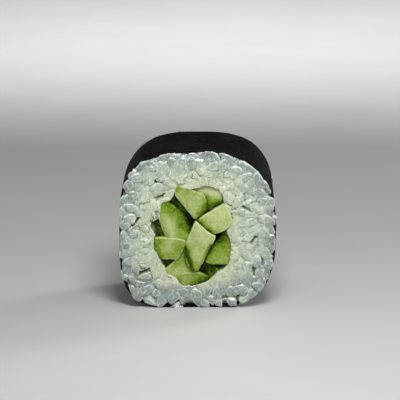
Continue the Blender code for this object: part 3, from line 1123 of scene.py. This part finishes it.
@dataclass
class RiceRing:
    """The ring of rice: a core, a bed of grains grown into each other at each cut, and grains on top."""

    section: RollSection
    hole: BundleHole
    finish: RiceFinish = field(default_factory=RiceFinish)
    tries: int = 6000
    kernel_size: tuple[float, float, float] = (5.4 * MM, 6.2 * MM, 6.0 * MM)
    size_spread: float = 0.18
    steep_share: float = 0.25
    form_shares: tuple[int, ...] = (6, 3, 2)
    top_spacing: float = 2.2 * MM
    top_edge: float = 1.9 * MM
    top_depth: float = 0.98 * MM
    bed_spacing: float = 1.9 * MM
    bed_edge: float = 1.6 * MM
    bed_depth: float = 1.6 * MM
    rim_spacing: float = 3.3 * MM
    rim_inset: float = 1.15 * MM
    rim_spin: float = 0.75
    rim_stretch: float = 1.2
    rim_bulge: float = 0.35 * MM
    unevenness: float = 0.42 * MM
    uneven_lump: float = 1.5 * MM
    knife_keep: float = 0.12
    knife_wave: float = 0.1 * MM
    wall_margin: float = 0.03 * MM
    hole_margin: float = -0.1 * MM
    hole_uneven: float = 0.2 * MM
    slab_depth: float = 1.7 * MM
    slab_thickness: float = 1.6 * MM
    voxel: float = 0.2 * MM
    ring_steps: int = 120
    film_patch: float = 4.5 * MM
    film_shallow: float = -0.1 * MM
    film_deep: float = 0.3 * MM
    film_ripple: float = 0.1 * MM
    film_overlap: float = 0.3 * MM
    rim_open: float = 1.1 * MM
    rim_uneven: float = 0.5 * MM
    spill: float = 0.9 * MM
    overhang: float = 0.6 * MM
    crack_reach: float = 1.5 * MM
    crack_clear: float = 1.8 * MM
    crack_depth: float = 1.3 * MM
    slit_narrowing: float = 0.3 * MM
    low_height: float = 13 * MM
    warm_reach: float = 7 * MM
    cracks: tuple[Crack, ...] = (
        Crack((-11.2, 32.8), (-7.4, 33.2)),
        Crack((-10.6, 28.6), (-8.6, 29.6)),
        Crack((-15.5, 8.9), (-11.7, 10.2)),
        Crack((6.5, 2.6), (10.3, 3.3)),
        Crack((16.4, 11.6), (16.7, 13.6)),
        Crack((14.2, 8.6), (14.5, 10.4)),
        Crack((-16.6, 21.6), (-15.0, 23.2)),
        Crack((11.6, 26.2), (13.8, 25.4)),
        Crack((13.6, 17.0), (14.6, 18.2)),
        Crack((-5.6, 1.6), (-4.8, 1.9)),
    )
    slits: tuple[Crack, ...] = (
        Crack((-10.5, 25.0), (-10.4, 23.2)),
        Crack((-12.4, 22.9), (-11.8, 22.6)),
        Crack((8.5, 24.4), (9.2, 22.6)),
        Crack((8.6, 15.6), (8.7, 15.0)),
        Crack((9.5, 28.9), (12.4, 27.8)),
        Crack((-10.2, 5.4), (-9.4, 4.9)),
        Crack((-15.0, 7.2), (-14.0, 6.8)),
        Crack((-15.8, 26.6), (-15.2, 28.4)),
        Crack((3.4, 3.6), (4.6, 2.8)),
    )
    seed: int = 23

    def build(self) -> list[bpy.types.Object]:
        """Build every piece of the rice.

        Returns:
            The finished pieces.
        """
        rng = random.Random(self.seed)
        models = {form: KernelModel().build(form) for form in KernelForm}
        material = self.finish.material()
        pieces = [self.core()]
        loose: dict[KernelForm, list[tuple[np.ndarray, float]]] = {form: [] for form in KernelForm}
        for side in Side:
            top = self.top_layer(rng, side)
            bed = self.bed_layer(rng, side)
            pieces.append(self.bed(side, bed, models))
            for kernel in top:
                loose[kernel.form].append((self.pressed(kernel, side, models), kernel.tone))
        for form, grains in loose.items():
            if grains:
                pieces.append(self.joined("rice_grains_" + form.value, grains, models[form][1]))
        for number, piece in enumerate(pieces):
            self.shade(piece)
            finish_piece(piece, material, "rice", *(["rice"] if number == 0 else []))
        return pieces

    def free_places(
        self, rng: random.Random, side: Side, spacing: float, taken: list[Spot], edge: float
    ) -> list[Spot]:
        """Find places for kernels, spread evenly over a cut face.

        Args:
            rng: The source of chance.
            side: The cut face.
            spacing: The least distance between two kernels.
            taken: Places that hold a kernel already.
            edge: Distance kept from the seaweed and the sticks.

        Returns:
            The new places, as x and z.
        """
        half = self.section.width / 2
        y = side.value * self.section.length / 2
        drawn = [(rng.uniform(-half, half), y, rng.uniform(0, 2 * half + MM)) for _ in range(self.tries)]
        places = np.array(drawn)
        inside = (self.section.excess(places, edge) <= 1) & (self.hole.distance(places) >= edge)
        found: list[Spot] = []
        for x, _, z in places[inside]:
            near = (math.hypot(x - a, z - b) < spacing for a, b in taken + found)
            if not any(near):
                found.append((float(x), float(z)))
        return found

    def rim_places(self, rng: random.Random, side: Side) -> list[tuple[float, float, float]]:
        """Find places for the kernels that lean on the seaweed.

        Args:
            rng: The source of chance.
            side: The cut face.

        Returns:
            Each one's x and z and the angle of the rim there.
        """
        share = 0.0 if side is Side.FRONT else 1.0
        turns = np.linspace(0, FULL_TURN, 721)[:-1]
        inset = self.section.lap_step(turns) + self.rim_inset
        x, z = self.section.outline(turns, np.full_like(turns, share), inset)
        steps = np.hypot(np.diff(x, append=x[0]), np.diff(z, append=z[0]))
        along = np.concatenate([[0], np.cumsum(steps)[:-1]])
        found, at = [], 0.0
        while at < steps.sum() - self.rim_spacing * 0.6:
            number = int(np.searchsorted(along, at)) % len(turns)
            following = (number + 1) % len(turns)
            heading = math.atan2(z[following] - z[number], x[following] - x[number])
            found.append((float(x[number]), float(z[number]), heading))
            at += self.rim_spacing * rng.uniform(0.8, 1.25)
        return found

    def kernel(
        self, rng: random.Random, x: float, z: float, depth: float, spin: float | None = None
    ) -> Kernel:
        """Draw one kernel at a place.

        Args:
            rng: The source of chance.
            x: Its place across.
            z: Its height.
            depth: How deep its middle lies under the cut.
            spin: Its direction in the cut, or None for any.

        Returns:
            The kernel.
        """
        steep = rng.random() < self.steep_share
        tilt = rng.uniform(0.6, 1.2) if steep else rng.uniform(-0.35, 0.35)
        form = rng.choices(list(KernelForm), weights=self.form_shares)[0]
        spread = self.size_spread
        size = tuple(part * (1 + rng.uniform(-spread, spread)) for part in self.kernel_size)
        any_spin = rng.uniform(0, FULL_TURN)
        return Kernel(x, z, depth, any_spin if spin is None else spin, tilt, size, form, rng.random())

    def top_layer(self, rng: random.Random, side: Side) -> list[Kernel]:
        """Lay the kernels that show in the cut: first those along the seaweed, then the rest.

        Args:
            rng: The source of chance.
            side: The cut face.

        Returns:
            The kernels.
        """
        kernels = []
        for x, z, heading in self.rim_places(rng, side):
            spin = -heading + rng.uniform(-self.rim_spin, self.rim_spin)
            kernel = self.kernel(rng, x, z, self.top_depth + rng.uniform(0.0, 0.4) * MM, spin)
            kernel.size = (kernel.size[0] * self.rim_stretch, *kernel.size[1:])
            kernels.append(kernel)
        if side is Side.FRONT:
            kernels = [kernel for kernel in kernels if self.clear_of_cracks(kernel)]
            for crack in self.cracks:
                for x, z in crack.sides(self.crack_reach):
                    turn = -crack.heading + rng.uniform(-0.15, 0.15)
                    kernels.append(self.kernel(rng, x, z, self.top_depth, turn))
        taken = [(kernel.x, kernel.z) for kernel in kernels]
        taken += [crack.middle for crack in self.cracks if side is Side.FRONT]
        for x, z in self.free_places(rng, side, self.top_spacing, taken, self.top_edge):
            kernels.append(self.kernel(rng, x, z, self.top_depth + rng.uniform(-0.25, 0.12) * MM))
        return kernels

    def clear_of_cracks(self, kernel: Kernel) -> bool:
        """Whether a kernel leaves every crack and the grains beside it free."""
        place = np.array([(kernel.x, 0.0, kernel.z)])
        return all(crack.distance(place)[0] > self.crack_clear for crack in self.cracks)

    def bed_layer(self, rng: random.Random, side: Side) -> list[Kernel]:
        """Lay the kernels that show only in the gaps between the others."""
        places = self.free_places(rng, side, self.bed_spacing, [], self.bed_edge)
        return [self.kernel(rng, x, z, self.bed_depth + rng.uniform(-0.2, 0.2) * MM) for x, z in places]

    def pressed(self, kernel: Kernel, side: Side, models: dict[KernelForm, KernelMesh]) -> np.ndarray:
        """Shape one kernel's vertices, squashed by the knife, the seaweed and the sticks.

        Args:
            kernel: The kernel.
            side: The cut face that it is in.
            models: The model of each form.

        Returns:
            Its vertices.
        """
        points = models[kernel.form][0]
        matrix = np.array(kernel.matrix(side, self.section.length))
        places = points @ matrix[:3, :3].T + matrix[:3, 3]
        shift = [noise_at(places, self.uneven_lump, 7.0 * axis + kernel.tone) for axis in range(3)]
        places += self.unevenness * np.stack(shift, axis=1)
        half = self.section.length / 2
        rim = smooth_step((self.section.excess(places, 0.0) - 0.82) / 0.12)
        knife = half + self.knife_wave * noise_at(places, 6 * MM, 2.0) + self.rim_bulge * rim
        proud = np.maximum(0.0, np.abs(places[:, 1]) - knife)
        places[:, 1] -= side.value * proud * (1 - self.knife_keep)
        over = smooth_step((np.abs(places[:, 1]) - half + 0.2 * MM) / (0.2 * MM))
        turn = np.arctan2(places[:, 2] - self.section.middle, places[:, 0])
        lip = self.overhang * over * (0.5 + 0.5 * noise_at(places, 2.5 * MM, 11.0))
        lip += over * self.section.lap_step(turn) * 0.8
        short = self.rim_uneven * ((kernel.tone * 7.3) % 1.0) ** 2
        outwards = places[:, [0, 2]] - (0.0, self.section.middle)
        outwards /= np.maximum(np.linalg.norm(outwards, axis=1), 1e-9)[:, None]
        places[:, [0, 2]] += outwards * (self.spill * over * rim)[:, None]
        margin = self.wall_margin + short - lip - over * self.section.sheet * 0.5
        places = self.section.pull_in(places, margin)
        uneven = self.hole_uneven * noise_at(places, 2.2 * MM, 14.0)
        return self.hole.push_out(places, self.hole_margin + uneven)

    def ring_solid(
        self, name: str, low: float, high: float, wall_margin: float, hole_margin: float
    ) -> bpy.types.Object:
        """Model a closed ring between the seaweed and the sticks.

        Args:
            name: Its name.
            low: Where it starts along Y.
            high: Where it ends.
            wall_margin: How far it stays from the seaweed.
            hole_margin: How far it stays from the sticks; less than 0 runs into them.

        Returns:
            The ring.
        """
        deselect_all()
        upright = (math.pi / 2, 0, 0)
        bpy.ops.mesh.primitive_circle_add(vertices=self.ring_steps, radius=1.0, rotation=upright)
        ring = name_new(name)
        bpy.ops.object.transform_apply(location=False, rotation=True, scale=False)
        bpy.ops.object.mode_set(mode="EDIT")
        bpy.ops.mesh.select_all(action="SELECT")
        bpy.ops.mesh.duplicate()
        bpy.ops.transform.resize(value=(0.5, 0.5, 0.5))
        bpy.ops.mesh.select_all(action="SELECT")
        bpy.ops.mesh.bridge_edge_loops()
        bpy.ops.mesh.select_all(action="SELECT")
        bpy.ops.mesh.extrude_region_move(TRANSFORM_OT_translate={"value": (0, 1.0, 0)})
        bpy.ops.mesh.select_all(action="SELECT")
        bpy.ops.mesh.normals_make_consistent(inside=False)
        bpy.ops.object.mode_set(mode="OBJECT")
        flat = vertex_array(ring.data)
        turn = np.arctan2(flat[:, 2], flat[:, 0])
        outer = np.hypot(flat[:, 0], flat[:, 2]) > 0.75
        y = np.where(flat[:, 1] < 0.5, low, high)
        inset = self.section.lap_step(turn) + self.section.sheet + wall_margin
        outer_x, outer_z = self.section.outline(turn, self.section.share(y), inset)
        reach = self.hole.reach(turn) + hole_margin
        inner_x = self.hole.centre[0] + np.cos(turn) * reach
        inner_z = self.hole.centre[1] + np.sin(turn) * reach
        x, z = np.where(outer, outer_x, inner_x), np.where(outer, outer_z, inner_z)
        set_vertices(ring.data, np.stack([x, y, z], axis=1))
        return ring

    def core(self) -> bpy.types.Object:
        """Build the plain block between the two cuts, which the pieces at the cuts hide."""
        depth = self.section.length / 2 - self.slab_depth - self.slab_thickness / 2
        return self.ring_solid("rice_core", -depth, depth, 0.05 * MM, 0.0)

    def bed(
        self, side: Side, kernels: list[Kernel], models: dict[KernelForm, KernelMesh]
    ) -> bpy.types.Object:
        """Grow the kernels of a cut into one sticky mass.

        Args:
            side: The cut face.
            kernels: Its kernels.
            models: The model of each form.

        Returns:
            The piece, with the tone of the nearest kernel at each vertex.
        """
        low, high = sorted(
            side.value * (self.section.length / 2 - self.slab_depth - extra)
            for extra in (0.0, self.slab_thickness)
        )
        slab = self.ring_solid("slab", low, high, 0.2 * MM, -0.5 * MM)
        points, faces, tones, count = [vertex_array(slab.data)], [], [], len(slab.data.vertices)
        faces += [tuple(face.vertices) for face in slab.data.polygons]
        bpy.data.objects.remove(slab)
        for kernel in kernels:
            places = self.pressed(kernel, side, models)
            faces += [tuple(number + count for number in face) for face in models[kernel.form][1]]
            count += len(places)
            points.append(places)
            tones += [kernel.tone] * len(places)
        bed = mesh_object("rice_" + side.name.lower(), np.concatenate(points), faces)
        apply_modifier(bed, "REMESH", mode="VOXEL", voxel_size=self.voxel, use_smooth_shade=True)
        apply_modifier(bed, "SMOOTH", factor=0.5, iterations=2)
        surface = np.concatenate(points[1:])
        tree = kdtree.KDTree(len(surface))
        for number, place in enumerate(surface):
            tree.insert(place, number)
        tree.balance()
        nearest = [tree.find(vertex.co)[1] for vertex in bed.data.vertices]
        set_attribute(bed.data, "tone", np.array(tones)[nearest])
        self.raise_film(bed, side)
        return bed

    def raise_film(self, bed: bpy.types.Object, side: Side) -> None:
        """Fill the creases of a cut with starch up to an uneven height, but leave the cracks open.

        Args:
            bed: The piece of grown kernels.
            side: The cut face that it is in.
        """
        places = vertex_array(bed.data)
        facing = normal_array(bed.data)[:, 1] * side.value
        outward = places[:, 1] * side.value
        patches = smooth_step(0.5 + 1.3 * noise_at(places, self.film_patch, 5.0))
        depth = self.film_shallow + (self.film_deep - self.film_shallow) * patches
        depth += self.film_ripple * (noise_at(places, 1.3 * MM, 3.0) + 0.6 * noise_at(places, 0.6 * MM, 13.0))
        low = smooth_step((14 * MM - places[:, 2]) / (10 * MM))
        parted = np.clip(0.4 + 0.9 * noise_at(places, 5 * MM, 17.0) + 0.6 * low, 0.1, 1.0)
        depth += self.rim_open * parted * smooth_step((self.section.excess(places, 0.0) - 0.88) / 0.08)
        if side is Side.FRONT:
            to_slit = np.min([slit.distance(places) for slit in self.slits], axis=0)
            to_crack = np.min([crack.distance(places) for crack in self.cracks], axis=0)
            near = np.minimum(to_slit + self.slit_narrowing, to_crack)
            near += 0.35 * MM * noise_at(places, 0.8 * MM, 21.0)
            depth += self.crack_depth * smooth_step(1 - near / (0.9 * MM))
            outward -= self.crack_depth * smooth_step(1 - near / (0.7 * MM)) * (facing > 0)
        film = self.section.length / 2 - depth
        ragged = self.film_overlap * (noise_at(places, 1.5 * MM, 8.0) - 0.4)
        filled = (facing > 0.3) & (outward < film) & (self.hole.distance(places) > ragged)
        outward = np.where(filled, film, outward)
        places[:, 1] = outward * side.value
        set_vertices(bed.data, places)

    def joined(
        self, name: str, grains: list[tuple[np.ndarray, float]], faces: list[tuple[int, ...]]
    ) -> bpy.types.Object:
        """Join copies of one form of kernel.

        Args:
            name: The piece's name.
            grains: Each copy's vertices and tone.
            faces: The model's faces.

        Returns:
            The piece.
        """
        size = len(grains[0][0])
        everything = [tuple(n + i * size for n in face) for i in range(len(grains)) for face in faces]
        piece = mesh_object(name, np.concatenate([places for places, _ in grains]), everything)
        set_attribute(piece.data, "tone", np.repeat([tone for _, tone in grains], size))
        return piece

    def shade(self, piece: bpy.types.Object) -> None:
        """Store where the rice is whiter, warmer and glassier, with painted shade towards the bottom and in
        the creases, for the material.

        Args:
            piece: The piece of rice.
        """
        make_active(piece)
        bpy.ops.object.shade_smooth()
        places = vertex_array(piece.data)
        if "tone" not in piece.data.attributes:
            set_attribute(piece.data, "tone", np.full(len(places), 0.5))
        set_attribute(piece.data, "warmth", smooth_step(1 - self.hole.distance(places) / self.warm_reach))
        # Painted shade: the glassy outer tint reaches further in and is stronger towards the bottom.
        low = smooth_step((self.low_height - places[:, 2]) / (11 * MM))
        rim = (self.section.excess(places, 0.0) - 0.76 + 0.2 * low) / (0.22 + 0.04 * low)
        rim += 0.55 * noise_at(places, 2.8 * MM, 25.0) * (1 - smooth_step(rim - 0.6))
        set_attribute(piece.data, "outer", smooth_step(rim) * (1 + 0.2 * low))
        # Painted shade: how far under the cut the surface lies, which darkens the creases.
        depth = self.section.length / 2 - np.abs(places[:, 1])
        set_attribute(piece.data, "depth", smooth_step((depth - 0.3 * MM) / (1.5 * MM)))


@dataclass(frozen=True)
class Tint:
    """A soft line along which a stick is greener, brown or starchy, seen in its section, in mm; a few of the
    dark ones are painted shade.
    """

    start: Spot
    end: Spot
    reach: float
    strength: float = 1.0
    falloff: float = 2.6

    def paint(self, values: np.ndarray, places: np.ndarray) -> np.ndarray:
        """Paint the line over what is there.

        Args:
            values: How strong the tint is at each place so far.
            places: The places, one row each.

        Returns:
            How strong it is with the line.
        """
        flat = places[:, [0, 2]] / MM
        start, along = np.array(self.start), np.array(self.end) - np.array(self.start)
        share = np.clip((flat - start) @ along / max(along @ along, 1e-9), 0, 1)
        gap = np.linalg.norm(flat - start - share[:, None] * along, axis=1)
        return values + (self.strength - values) * np.exp(-self.falloff * (gap / self.reach) ** 2)


@dataclass
class CucumberStick:
    """One stick of cucumber, softened from its solid, with its own rind, brown spots and starchy film, and on
    a few sticks painted shade.
    """

    node: str
    rinds_and_shades: tuple[Tint, ...] = ()
    browns: tuple[Tint, ...] = ()
    films: tuple[Tint, ...] = ()
    base: float = 0.1
    fatten: float = 0.3 * MM
    voxel: float = 0.22 * MM
    swell: float = 0.15 * MM
    waver: float = 0.3 * MM

    def build(self, material: bpy.types.Material, slot: str) -> bpy.types.Object:
        """Soften a copy of the stick's solid and shade it.

        Args:
            material: The cucumber's material.
            slot: The record's material slot.

        Returns:
            The finished stick.
        """
        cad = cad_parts[self.node]
        stick = bpy.data.objects.new("fresh_" + self.node, cad.data.copy())
        bpy.context.scene.collection.objects.link(stick)
        self.soften(stick)
        self.paint(stick)
        bpy.ops.object.shade_smooth()
        finish_piece(stick, material, slot, self.node)
        return stick

    def soften(self, stick: bpy.types.Object) -> None:
        """Fatten the copy within its length, round its edges and let its faces swell a little.

        Args:
            stick: The copy.
        """
        make_active(stick)
        bpy.ops.object.mode_set(mode="EDIT")
        bpy.ops.mesh.select_all(action="SELECT")
        bpy.ops.mesh.remove_doubles(threshold=0.001 * MM)
        bpy.ops.object.mode_set(mode="OBJECT")
        along = vertex_array(stick.data)[:, 1]
        bpy.ops.object.mode_set(mode="EDIT")
        bpy.ops.transform.shrink_fatten(value=self.fatten)
        bpy.ops.object.mode_set(mode="OBJECT")
        places = vertex_array(stick.data)
        places[:, 1] = along
        set_vertices(stick.data, places)
        apply_modifier(stick, "REMESH", mode="VOXEL", voxel_size=self.voxel, use_smooth_shade=True)
        apply_modifier(stick, "SMOOTH", factor=0.5, iterations=2)
        places = vertex_array(stick.data)
        places += normal_array(stick.data) * (self.swell * noise_at(places, 1.9 * MM, 3.0))[:, None]
        set_vertices(stick.data, places)

    def paint(self, stick: bpy.types.Object) -> None:
        """Store how green, brown and starchy the stick is at each vertex, along wavering lines, with painted
        shade among the greens on a few sticks.

        Args:
            stick: The softened stick.
        """
        places = vertex_array(stick.data)
        shift = np.stack([noise_at(places, 1.6 * MM, 5.0 * axis) for axis in range(3)], axis=1)
        wavering = places + self.waver * shift
        painted = {"rind": (self.rinds_and_shades, self.base), "brown": (self.browns, 0.0), "film": (self.films, 0.0)}
        for name, (tints, base) in painted.items():
            values = np.full(len(places), base)
            for tint in tints:
                values = tint.paint(values, wavering)
            set_attribute(stick.data, name, values)


@dataclass
class CucumberBundle:
    """The sticks in the middle of the roll."""

    finish: CucumberFinish = field(default_factory=CucumberFinish)
    sticks: tuple[CucumberStick, ...] = (
        CucumberStick(
            "cucumber_top",
            (
                Tint((3.2, 28.2), (2.0, 24.4), 2.6, 0.84),
                Tint((-5.6, 31.0), (-0.6, 30.8), 1.8, 0.36),
                Tint((0.3, 24.6), (0.3, 24.6), 0.7, 0.72),
                Tint((-4.8, 32.0), (-5.4, 31.0), 1.2, 0.62),
                Tint((1.8, 24.2), (-0.6, 22.6), 1.2, 0.85),
            ),
            base=0.2,
        ),
        CucumberStick(
            "cucumber_top_right",
            (
                Tint((1.6, 32.6), (5.6, 31.6), 2.6, 0.04),
                Tint((2.0, 26.0), (6.8, 27.6), 2.2, 0.84),
                Tint((2.4, 28.8), (2.4, 26.0), 1.6, 0.78),
                # Painted shade: a near-black spot for a dark crack at the lower right.
                Tint((6.6, 28.9), (6.8, 28.2), 0.8, 0.97),
            ),
            films=(Tint((-0.6, 31.8), (5.8, 30.4), 2.4, 0.95),),
            base=0.14,
            fatten=0.52 * MM,
        ),
        CucumberStick(
            "cucumber_right",
            (
                Tint((8.6, 26.0), (5.0, 23.6), 2.6, 0.0),
                Tint((-0.8, 23.2), (1.0, 20.8), 2.4, 0.84),
                Tint((1.0, 20.8), (4.4, 18.9), 1.9, 0.84),
            ),
            base=0.1,
        ),
        CucumberStick(
            "cucumber_centre",
            (
                Tint((0.6, 21.0), (2.4, 18.0), 2.4, 0.0),
                Tint((-3.5, 16.4), (-1.2, 9.8), 1.5, 0.9),
                # Darker green along the right-lower side, partly painted shade.
                Tint((3.6, 16.4), (0.8, 10.0), 1.2, 0.8),
            ),
            base=0.16,
        ),
        CucumberStick(
            "cucumber_upper_left",
            (
                Tint((-8.4, 23.4), (-5.8, 18.4), 2.0, 0.18),
                Tint((-9.2, 28.6), (-6.8, 27.8), 2.4, 0.62),
                Tint((-6.4, 27.4), (-2.6, 23.2), 2.6, 0.72),
                Tint((-5.6, 28.2), (-1.4, 23.2), 1.6, 0.93),
                Tint((-1.8, 23.6), (-1.6, 19.8), 2.0, 1.0),
                Tint((-4.2, 21.4), (-3.2, 20.6), 1.2, 0.7),
                Tint((-4.4, 18.6), (-2.8, 18.8), 1.2, 0.4),
            ),
            films=(Tint((-6.8, 22.6), (-6.6, 18.2), 1.5, 0.38),),
            base=0.48,
        ),
        CucumberStick(
            "cucumber_left_skin",
            (Tint((-10.6, 22.8), (-10.0, 18.4), 1.5, 0.94), Tint((-8.8, 21.6), (-8.2, 18.8), 1.5, 0.6)),
            (Tint((-12.0, 21.4), (-11.4, 20.0), 0.9, 1.0),),
            base=0.8,
            fatten=0.45 * MM,
        ),
        CucumberStick(
            "cucumber_left",
            (
                Tint((-11.8, 18.6), (-9.9, 12.4), 2.2, 0.76),
                Tint((-4.4, 15.6), (-3.0, 13.6), 2.2, 0.58),
                Tint((-6.6, 17.6), (-8.6, 15.4), 1.8, 0.24),
            ),
            films=(Tint((-6.6, 18.4), (-7.6, 15.8), 1.2, 0.36),),
            base=0.38,
            fatten=0.4 * MM,
        ),
        CucumberStick("cucumber_low_left_skin", (), base=0.8, fatten=0.45 * MM),
        CucumberStick(
            "cucumber_lower_left",
            (
                Tint((-6.6, 9.6), (-3.4, 9.2), 2.2, 0.2),
                Tint((-3.4, 15.2), (-1.8, 12.0), 2.0, 0.6),
                Tint((-1.6, 10.6), (0.2, 9.2), 1.2, 0.62),
            ),
            base=0.44,
            fatten=0.42 * MM,
        ),
        CucumberStick(
            "cucumber_bottom",
            (
                Tint((-3.4, 7.6), (-2.4, 6.4), 2.0, 0.26),
                Tint((3.4, 7.4), (-0.8, 5.2), 2.6, 0.9),
                Tint((-5.3, 7.8), (-4.6, 6.8), 0.8, 0.6),
            ),
            base=0.46,
            fatten=0.4 * MM,
        ),
        CucumberStick(
            "cucumber_low_right_skin",
            (Tint((0.2, 10.8), (1.6, 8.2), 1.8, 0.98), Tint((5.6, 10.0), (3.4, 7.4), 1.3, 0.7)),
            base=0.86,
            fatten=0.4 * MM,
        ),
        CucumberStick("cucumber_right_skin", (), base=0.84, fatten=0.45 * MM),
        CucumberStick(
            "cucumber_lower_right",
            (
                Tint((7.0, 13.0), (4.0, 12.4), 1.8, 0.36),
                Tint((7.6, 19.8), (5.4, 17.4), 2.4, 0.78),
                Tint((1.2, 12.4), (4.8, 17.8), 1.5, 0.93),
                Tint((8.0, 18.6), (8.6, 16.0), 1.3, 0.7),
            ),
            base=0.52,
        ),
        CucumberStick(
            "cucumber_upper_left_skin",
            # Painted shade: near black towards its lower tip.
            (Tint((-2.6, 25.0), (-0.6, 22.4), 2.6, 1.0), Tint((-5.2, 27.0), (-3.4, 25.2), 0.9, 0.76)),
            (Tint((-6.8, 28.6), (-6.4, 28.2), 0.7, 0.7),),
            # Skin darkened to near black, partly painted shade of the gap it sits in.
            base=0.91,
            fatten=0.4 * MM,
        ),
    )

    def build(self) -> list[bpy.types.Object]:
        """Build every stick.

        Returns:
            The finished sticks.
        """
        material = self.finish.material()
        made = []
        for stick in self.sticks:
            slot = "cucumber_skin" if stick.node.endswith("_skin") else "cucumber_flesh"
            made.append(stick.build(material, slot))
        return made


@dataclass
class Studio:
    """A plain pale floor, soft light and the camera of the reference view."""

    floor_size: float = 6.0
    camera_distance: float = 0.6
    camera_elevation: float = math.radians(13.1)
    target: tuple[float, float, float] = (0.586 * MM, 0.0, 25.2 * MM)
    sensor: float = 36.0
    lens: float = 208.6

    def build(self) -> None:
        """Set up everything round the roll."""
        self.floor()
        self.area("softbox_above", (0.02, -0.12, 0.17), 0.065, 0.285)
        self.area("softbox_front", (-0.35, -0.75, 0.40), 0.6, 0.5)
        self.area("softbox_side", (0.7, -0.2, 0.35), 0.5, 0.4)
        self.area("softbox_back", (0.75, 0.5, 0.5), 0.3, 3.2)
        self.area("softbox_far_side", (-0.8, 0.45, 0.3), 0.5, 0.5)
        self.area("softbox_floor", (0.0, 0.35, 0.3), 0.3, 1.6, (0.0, 0.9, 0.0))
        self.world()
        self.camera()
        bpy.context.scene.view_settings.view_transform = "Standard"

    def floor(self) -> None:
        """Lay the floor."""
        deselect_all()
        bpy.ops.mesh.primitive_plane_add(size=self.floor_size)
        floor = name_new("floor")
        floor.data.materials.append(FloorFinish().material())

    def area(
        self,
        name: str,
        place: tuple[float, float, float],
        size: float,
        power: float,
        target: tuple[float, float, float] | None = None,
    ) -> None:
        """Hang a square softbox.

        Args:
            name: Its name.
            place: Where it hangs.
            size: Its side.
            power: Its power in watts.
            target: What it faces; the roll where it is None.
        """
        deselect_all()
        bpy.ops.object.light_add(type="AREA", location=place)
        light = name_new(name)
        light.data.size = size
        light.data.energy = power
        aim = Vector(target or self.target) - Vector(place)
        light.rotation_euler = aim.to_track_quat("-Z", "Y").to_euler()

    def world(self) -> None:
        """Fill in with an even pale light."""
        world = bpy.data.worlds.new("pale_room")
        world.use_nodes = True
        background = world.node_tree.nodes["Background"]
        background.inputs["Color"].default_value = (0.9, 0.92, 0.93, 1.0)
        background.inputs["Strength"].default_value = 0.2
        bpy.context.scene.world = world

    def camera(self) -> None:
        """Set up the camera."""
        back = Vector((0.0, -math.cos(self.camera_elevation), math.sin(self.camera_elevation)))
        data = bpy.data.cameras.new("camera")
        data.sensor_width = self.sensor
        data.lens = self.lens
        data.clip_start = 0.05
        camera = bpy.data.objects.new("camera", data)
        camera.location = Vector(self.target) + back * self.camera_distance
        camera.rotation_euler = (-back).to_track_quat("-Z", "Y").to_euler()
        bpy.context.scene.collection.objects.link(camera)
        bpy.context.scene.camera = camera


def main() -> None:
    """Build the dressed roll and its studio, sized from the seaweed's solid."""
    logging.basicConfig(level=logging.INFO, format="%(name)s: %(message)s")
    low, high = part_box("nori_sheet")
    section = RollSection(width=high.x - low.x, height=high.z - low.z)
    bundle = CucumberBundle()
    hole = BundleHole([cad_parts[stick.node] for stick in bundle.sticks])
    SeaweedSheet(section).build()
    RiceRing(section, hole).build()
    bundle.build()
    Studio().build()


if __name__ == "__main__":
    main()
